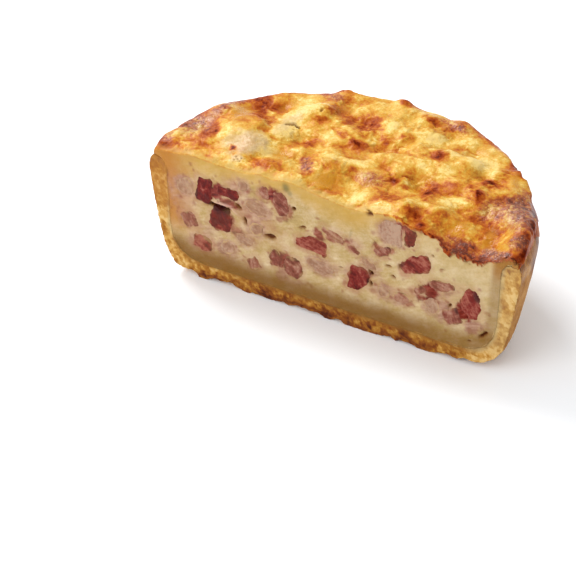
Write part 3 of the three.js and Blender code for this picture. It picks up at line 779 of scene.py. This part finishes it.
# Nearly black edges of ham, painted shade in the cracks and holes beside the pieces, partly their own dark
# rims: x from the axis, height, half sizes, turn, strength.
hamEdgeShade = [
    (49.6, 25, 1.3, 2.6, 28, 1), (14.4, 18.4, 0.7, 1.6, 0, 0.9), (15, 21.4, 0.6, 1, 0, 0.8),
    (43, 18.4, 1.8, 0.6, -60, 0.8), (25.2, 28.2, 1.6, 0.7, 50, 0.7), (28.4, 35.6, 1.6, 0.6, 0, 0.6),
    (-38.8, 28.2, 1.6, 1.4, 0, 0.9), (-36, 28, 3.6, 2.3, 0, 1), (-18.6, 19.4, 1.4, 0.6, 30, 0.7),
    (-9.6, 18, 1.4, 0.6, -20, 0.6), (-9.4, 28, 1.6, 0.7, 40, 0.6), (20.6, 32.8, 1.4, 0.7, 30, 0.7),
    (-44.2, 30, 0.6, 4, -7, 0.6),
]
# Each piece: tone from -1, dark, to 1, pale, how much custard is smeared over it, the lean of its grain.
hamLooks = {
    "ham_01": (-0.9, 0.0, 0), "ham_02": (-0.7, 0.0, 85), "ham_03": (-0.8, 0.1, 20),
    "ham_04": (0.1, 0.9, 40), "ham_05": (0.1, 1.0, 10), "ham_06": (0.2, 0.3, 70), "ham_07": (-0.2, 0.2, 60),
    "ham_08": (-0.1, 1.0, 80), "ham_09": (-0.3, 1.0, 30), "ham_10": (-0.5, 0.2, 10),
    "ham_11": (-0.5, 0.3, 50), "ham_12": (0.3, 0.1, 80), "ham_13": (0.3, 0.6, 70), "ham_14": (0.0, 0.3, 60),
    "ham_15": (-0.2, 1.0, 60), "ham_16": (0.1, 0.7, 70), "ham_17": (-0.4, 0.0, 15), "ham_18": (0.8, 0.2, 5),
    "ham_19": (-0.5, 0.2, 10), "ham_20": (0.1, 0.3, 50), "ham_21": (0.1, 0.05, 60),
    "ham_22": (-0.2, 0.35, 70), "ham_23": (-0.2, 0.4, 40), "ham_24": (0.4, 0.6, 60),
    "ham_25": (0.3, 1.0, 60), "ham_26": (0.1, 0.8, 30), "ham_27": (-0.2, 0.15, 20),
    "ham_28": (0.1, 0.0, 30), "ham_29": (-0.1, 0.5, 30), "ham_30": (0.0, 0.3, 60), "ham_31": (0.1, 0.9, 20),
    "ham_32": (0.0, 1.0, 70), "ham_33": (0.1, 0.5, 20),
}


def hamMaterial(kind):
    dark, middle, light = ham[kind]
    material, tree, shader = newMaterial(
        kind, Roughness=0.5, Specular_IOR_Level=0.14, Subsurface_Weight=0.1, Subsurface_Scale=0.0012)
    shader.inputs["Subsurface Radius"].default_value = (1.0, 0.35, 0.25)
    grain = valueOf(tree, "grain", "Vector")
    fibre = grainOf(tree, grain, (1400, 260, 400))
    blotch = noiseOf(tree, grain, 500, 4, 0.65)
    tone = addUp(tree, [
        (fibre, 0.5), (blotch, 0.95), (valueOf(tree, "tone"), 0.16), (valueOf(tree, "bundle"), 0.09),
        (valueOf(tree, "seam"), 0.14),
    ], -0.23, clamp=True)
    colour = rampOf(tree, tone, [(0.3, dark), (0.5, middle), (0.74, light)])
    # painted shade: nearly black at the cracks and holes by the edges
    colour = tinted(tree, colour, "edge", 0.8, "260606")
    colour = tinted(tree, colour, "film", 1.0, "a88760" if kind == "pale_ham" else "ac9260")
    tree.links.new(colour, shader.inputs["Base Color"])
    tree.links.new(bumpOf(tree, fibre, 0.4, 0.0004), shader.inputs["Normal"])
    return material


hamMaterials = {kind: hamMaterial(kind) for kind in ("dark_ham", "pink_ham", "pale_ham")}
for number, name in enumerate(hamNames):
    tone, cling, lean = hamLooks[name]
    piece = evenSkin("diced_" + name, [(name, ham["grow"])], ham["voxel"])
    place, edges = readMesh(piece.data)
    place = evened(place, edges, 1, 0.4)
    writeMesh(piece.data, place)
    normals = normalsOf(piece.data)
    middle = hamOutlines[name].mean(axis=0)
    across, up = place[:, 0] - middle[0], place[:, 2] - middle[1]
    c, s = math.cos(math.radians(lean)), math.sin(math.radians(lean))
    local = np.stack([across * c + up * s, up * c - across * s, place[:, 1] - cutY], axis=1)
    local += 20 * number  # each piece has another part of the grain
    away, bundleTone = grains(local + 0.4 * roughNoise(local, 2, 71)[:, None], ham["bundle"], 72)
    seam = smoothStep(0.5, 0.8, away)
    move = ham["ragged"] * roughNoise(local, 2.2, 73, 3, 0.6) - ham["seamDepth"] * seam - 0.06
    place = place + normals * [1, 0.35, 1] * move[:, None]
    # its face comes to the cut, and a little out of it
    place[:, 1] -= ham["proud"] - 0.1 * cling + (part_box(name)[0][1] / mm - ham["grow"] - cutY)
    writeMesh(piece.data, place)
    inside = -distanceFrom(hamOutlines[name], place[:, [0, 2]])
    smear = roughNoise(local, 2, 74, 3)
    edgeFilm = smoothStep(0.8, -0.1, inside + 1.2 * smear) * (0.15 + 0.85 * cling)
    joined = spread(redScraps, place[:, 0], place[:, 2], 0.4 * smear, 1.8)
    sideways = smoothStep(0.85, 0.3, -normalsOf(piece.data)[:, 1])
    edgeFilm = np.maximum(edgeFilm, (0.75 - 0.35 * cling) * sideways) * (1 - joined)
    # painted shade in the cracks and holes at the piece's edges
    shadedEdge = spread(hamEdgeShade, place[:, 0], place[:, 2], 0.4 * smear, 1.4)
    film = np.clip(edgeFilm + cling * (0.2 + 0.25 * smoothStep(0, 0.6, smear)), 0, 1) * (1 - shadedEdge)
    storeValues(piece.data, tone=np.full(len(place), tone), bundle=bundleTone, seam=seam,
                edge=shadedEdge, film=film)
    storeVector(piece.data, "grain", local * mm)
    finishPiece(piece, hamMaterials[slotOf[name]], name)

# Pastry: crumbly where it is cut, smooth and streaked outside, caramelised under the rim.
pastry = {
    "voxel": 0.5,
    "crumbSize": 1.3,
    "crumbHeight": 0.5,
    "ragged": 1.6,  # how far the lower edge of the cut is broken off
    "streaks": 0.2,
    "rimLayers": 0.22,
    "drips": 9,  # how far the fat ran down
    "burntAt": 2.55,  # places round the wall, in radians from its right end
    "darkAt": 0.1,
}


def pastryMaterial():
    material, tree, shader = newMaterial("baked_pastry", Specular_IOR_Level=0.15)
    where = addNode(tree, "TexCoord").outputs["Object"]
    around = valueOf(tree, "around", "Vector")
    mottle = noiseOf(tree, where, 130, 4, 0.6)
    fine = noiseOf(tree, where, 1100, 4, 0.65)
    streak = grainOf(tree, around, (1100, 330, 300))
    baked = valueOf(tree, "baked")
    outsideTone = addUp(tree, [(mottle, 0.6), (streak, 0.2), (fine, 0.24), (baked, 0.55)], -0.07)
    outside = rampOf(tree, outsideTone, [
        (0.3, "c39a5c"), (0.42, "b17c38"), (0.54, "96601f"),
        (0.68, "74400f"), (0.84, "4c1c08"), (1.0, "240e06"),
    ])
    crumb = valueOf(tree, "crumb")
    insideTone = addUp(tree, [(mottle, 0.34), (fine, 0.42), (crumb, 0.13), (baked, 0.5)], 0.06)
    inside = rampOf(tree, insideTone, [
        (0.26, "cca86a"), (0.4, "b68840"), (0.54, "98641e"), (0.7, "783e0c"), (0.9, "481802"),
    ])
    for name, share, tint in (("soaked", 0.7, "a8946a"), ("damp", 0.75, "7c501c"), ("tan", 0.5, "a06828")):
        inside = tinted(tree, inside, name, share, tint)
    colour = mixColours(tree, valueOf(tree, "cut"), outside, inside)
    tree.links.new(colour, shader.inputs["Base Color"])
    rough = addUp(tree, [(mottle, 0.3), (valueOf(tree, "gloss"), -0.25)], 0.45)
    tree.links.new(rough, shader.inputs["Roughness"])
    normal = bumpOf(tree, streak, 0.25, 0.0004)
    tree.links.new(bumpOf(tree, fine, 0.45, 0.0005, normal), shader.inputs["Normal"])
    return material


piece = evenSkin("pastry", [("pastry_crust", 0.0)], pastry["voxel"])
place, normals, radius = flattenCut(piece)
inner = (normals[:, 2] > -0.5) & (place[:, 1] > cutY + 3) & (radius < rimRadius - 5) & (place[:, 2] > 2)
thinHidden(piece, inner)
place, edges = readMesh(piece.data)
normals = normalsOf(piece.data)
isCut = smoothStep(0.5, 0.85, -normals[:, 1]) * (place[:, 1] < cutY + 0.9)
place = evened(place, edges, 4, 0.5 * (1 - isCut) * (place[:, 1] > cutY + 1))
x, y, z = place[:, 0], place[:, 1] - cutY, place[:, 2]
radius = np.hypot(x, y)
angle = np.arctan2(y, x)
outward = np.stack([x / np.maximum(radius, 1), y / np.maximum(radius, 1), 0 * x], axis=1)
isOutside = smoothStep(0.1, 0.6, np.sum(normals * outward, axis=1)) * (1 - isCut)
isWall = isOutside * smoothStep(0.5, 5, z)
around = np.stack([angle * rimRadius, z, 0 * x], axis=1)
nearRim = smoothStep(32, 35.5, z + 0.8 * roughNoise(around, (9, 4, 9), 50))
waves = roughNoise(around, (7, 22, 9), 51)
streaks = roughNoise(around, (1.5, 7, 9), 52)
layers = roughNoise(around, (14, 1.3, 9), 58)
move = 0.3 * (waves - 0.3) + pastry["streaks"] * (streaks - 0.5) * (1 - nearRim)
move += pastry["rimLayers"] * (layers - 0.4) * nearRim
place = place + outward * (isWall * move)[:, None]

# The cut face, and its lower edge with crumbs broken off.
onCut = place * [1, 0, 1]
nearFilling = cutDistance(surfaceOf("egg_filling"), place, isCut)
# dry and tan high up on the left, soaked beside the filling elsewhere
leftEnd = smoothStep(-40, -54, x) * smoothStep(18, 27, z + 2 * roughNoise(onCut, 4, 68))
soaked = smoothStep(3, 0.8, nearFilling + 0.9 * roughNoise(onCut, 2.4, 66)) * (1 - 0.85 * leftEnd)
away, crumbTone = grains(onCut + 0.35 * roughNoise(onCut, 1.2, 57)[:, None], pastry["crumbSize"], 53)
crumbs = pastry["crumbHeight"] * (away**2 - 0.2 + 0.6 * roughNoise(onCut, 2.6, 67))
byFilling = smoothStep(2, 0.8, nearFilling)
sunk = smoothStep(1.1, 0.2, nearFilling + 0.8 * roughNoise(onCut, 1.8, 71, 3))  # where custard covers it
place[:, 1] += isCut * ((1 - byFilling) * (1 - 0.5 * leftEnd) * (0.2 + crumbs) - 0.15 + 0.2 * sunk)
frontEdge = smoothStep(2.6, 0, z) * smoothStep(cutY + 3, cutY, place[:, 1])
broken = np.clip(roughNoise(onCut * [1, 0, 0], (3.6, 9, 9), 56) + 0.3, 0, 1)
place[:, 2] += frontEdge * pastry["ragged"] * broken
writeMesh(piece.data, place)

# Fat that ran down and browned, a burnt stretch, and darker places.
run = roughNoise(around * [1, 0, 0], (3.2, 9, 9), 61, 3)
run += 0.5 * roughNoise(around * [1, 0, 0], (17, 9, 9), 62, 1)
drip = smoothStep(0, 2.2, z - 33.5 + pastry["drips"] * np.clip(run, 0, 1)) * smoothStep(36.5, 34, z)
burnt = smoothStep(0.32, 0.1, np.abs(angle - pastry["burntAt"]))
burnt *= smoothStep(31, 35, z + 1.6 * roughNoise(around, 4, 63))
baked = 0.2 * roughNoise(place, 11, 54, 4) + 0.1 * roughNoise(around, (3, 7, 9), 69, 3) + 0.14 * nearRim
baked += 0.22 * drip * (0.3 + 0.7 * smoothStep(-0.2, 0.5, run)) * (0.7 + 0.6 * roughNoise(place, 3, 70))
baked += 0.4 * burnt + 0.12 * smoothStep(3, 0, z)
dark = smoothStep(0.55, 0.1, np.abs(angle - pastry["darkAt"])) * smoothStep(22, 36, z)
baked += dark * (0.16 + 0.5 * roughNoise(place, 4, 60, 3))
# the cut is reddest near the bottom
redBrown = smoothStep(4.6, 1, z + 1.6 * roughNoise(onCut, 2.6, 55)) * smoothStep(54, 34, np.abs(x + 6))
atRim = smoothStep(33, 39, z + 1.6 * roughNoise(onCut, 3, 65))
lowPart = smoothStep(10, 5, z) * smoothStep(50, 38, np.abs(x))
bakedCut = 0.3 * roughNoise(onCut, 2.6, 64) - 0.04 + 0.32 * redBrown + 0.3 * lowPart + 0.2 * atRim
bakedCut += 0.12 * leftEnd - 0.2 * smoothStep(12, 7, z) * smoothStep(40, 50, x)
baked = baked * (1 - isCut) + bakedCut * isCut
rightWall = smoothStep(46, 52, x) * smoothStep(5, 9, z)
soaked = np.maximum(soaked, 0.4 * rightWall * (0.8 + 0.6 * roughNoise(onCut, 4, 59)))
damp = soaked * smoothStep(13, 8, z) * (1 - 0.5 * smoothStep(38, 48, x))
soaked = soaked * np.maximum(smoothStep(9, 15, z), 0.9 * smoothStep(44, 50, x))
storeValues(piece.data, baked=baked, cut=isCut, crumb=crumbTone, gloss=nearRim * isOutside,
            tan=leftEnd * isCut, soaked=soaked, damp=damp * isCut)
storeVector(piece.data, "around", around * mm)
finishPiece(piece, pastryMaterial(), "pastry_crust")

# Floor, light and camera.
studio = {
    "azimuth": 28.3,  # camera to the right of the cut face's normal
    "elevation": 36,
    "distance": 868,
    "lens": 181.1,
    "aimRight": -11.26,  # from the quiche's axis on the floor, across and up the view
    "aimUp": 8.96,
    "skyLight": 0.85,
    "window": ((-560, 260, 640), 380, 6.5),  # place, size and power of each lamp
    "fill": ((-300, -800, 500), 700, 5),
    "lampAim": (0, 0, 20),
}

floorMesh = bpy.data.meshes.new("floor")
sheet = bmesh.new()
bmesh.ops.create_grid(sheet, x_segments=2, y_segments=2, size=3)
sheet.to_mesh(floorMesh)
sheet.free()
floor = bpy.data.objects.new("floor", floorMesh)
bpy.context.scene.collection.objects.link(floor)
floorMaterial, _, _ = newMaterial("pale_table", Base_Color=(0.9, 0.92, 0.945, 1), Roughness=0.6)
floor.data.materials.append(floorMaterial)

world = bpy.context.scene.world or bpy.data.worlds.new("studio")
bpy.context.scene.world = world
world.use_nodes = True
world.node_tree.nodes["Background"].inputs[0].default_value = (1, 1, 1, 1)
world.node_tree.nodes["Background"].inputs[1].default_value = studio["skyLight"]


def addLamp(name, where, size, power):
    lamp = bpy.data.lights.new(name, "AREA")
    lamp.size = size * mm
    lamp.energy = power
    holder = bpy.data.objects.new(name, lamp)
    bpy.context.scene.collection.objects.link(holder)
    holder.location = Vector(where) * mm
    holder.rotation_euler = (Vector(where) - Vector(studio["lampAim"])).to_track_quat("Z", "Y").to_euler()


for name in ("window", "fill"):
    addLamp(name, *studio[name])

azimuth, elevation = math.radians(studio["azimuth"]), math.radians(studio["elevation"])
back = Vector((math.sin(azimuth) * math.cos(elevation), -math.cos(azimuth) * math.cos(elevation),
               math.sin(elevation)))
right = Vector((math.cos(azimuth), math.sin(azimuth), 0))
axisFoot = Vector((0, cutY, 0))
eye = axisFoot + back * studio["distance"]
aim = axisFoot + right * studio["aimRight"] + back.cross(right) * studio["aimUp"]
camera = bpy.data.cameras.new("camera")
camera.lens = studio["lens"]
camera.sensor_width = 36
camera.clip_start, camera.clip_end = 0.01, 20
viewer = bpy.data.objects.new("camera", camera)
bpy.context.scene.collection.objects.link(viewer)
viewer.location = eye * mm
viewer.rotation_euler = (eye - aim).to_track_quat("Z", "Y").to_euler()
bpy.context.scene.camera = viewer
bpy.context.scene.view_settings.view_transform = "Standard"
print("studio ready")
